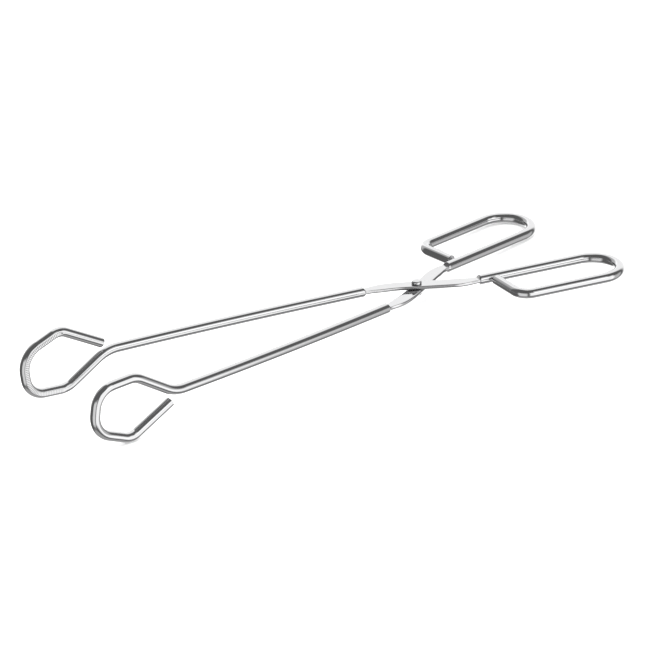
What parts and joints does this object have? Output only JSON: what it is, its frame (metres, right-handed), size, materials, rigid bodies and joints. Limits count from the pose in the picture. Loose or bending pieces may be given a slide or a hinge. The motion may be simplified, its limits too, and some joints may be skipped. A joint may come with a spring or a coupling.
{
  "type": "crucible tongs",
  "caption": "Scissor-type crucible tongs: riveted arms of bent round steel rod with upright serrated jaw loops and finger loops.",
  "frame": {"origin": "centre of the flat end of the upper rivet head, on the pivot axis", "axes": "+Z along the pivot axis, out of the upper rivet head; -X towards the jaws, +X towards the finger loops; +Y towards the upper arm's jaw"},
  "size_m": [0.3641, 0.1238, 0.0464],
  "materials": {
    "polished_steel": "bright electropolished stainless steel rod",
    "rivet_steel": "bright stainless steel, formed head"
  },
  "bodies": {
    "lower_arm": {"lower_arm": "polished_steel", "pivot_rivet": "rivet_steel"},
    "upper_arm": {"upper_arm": "polished_steel"}
  },
  "joints": [
    {"name": "pivot", "type": "hinge", "parent": "lower_arm", "child": "upper_arm", "pos_m": [0, 0, -0.0045], "axis": [0, 0, 1], "range_deg": [-45, 14.8]}
  ]
}
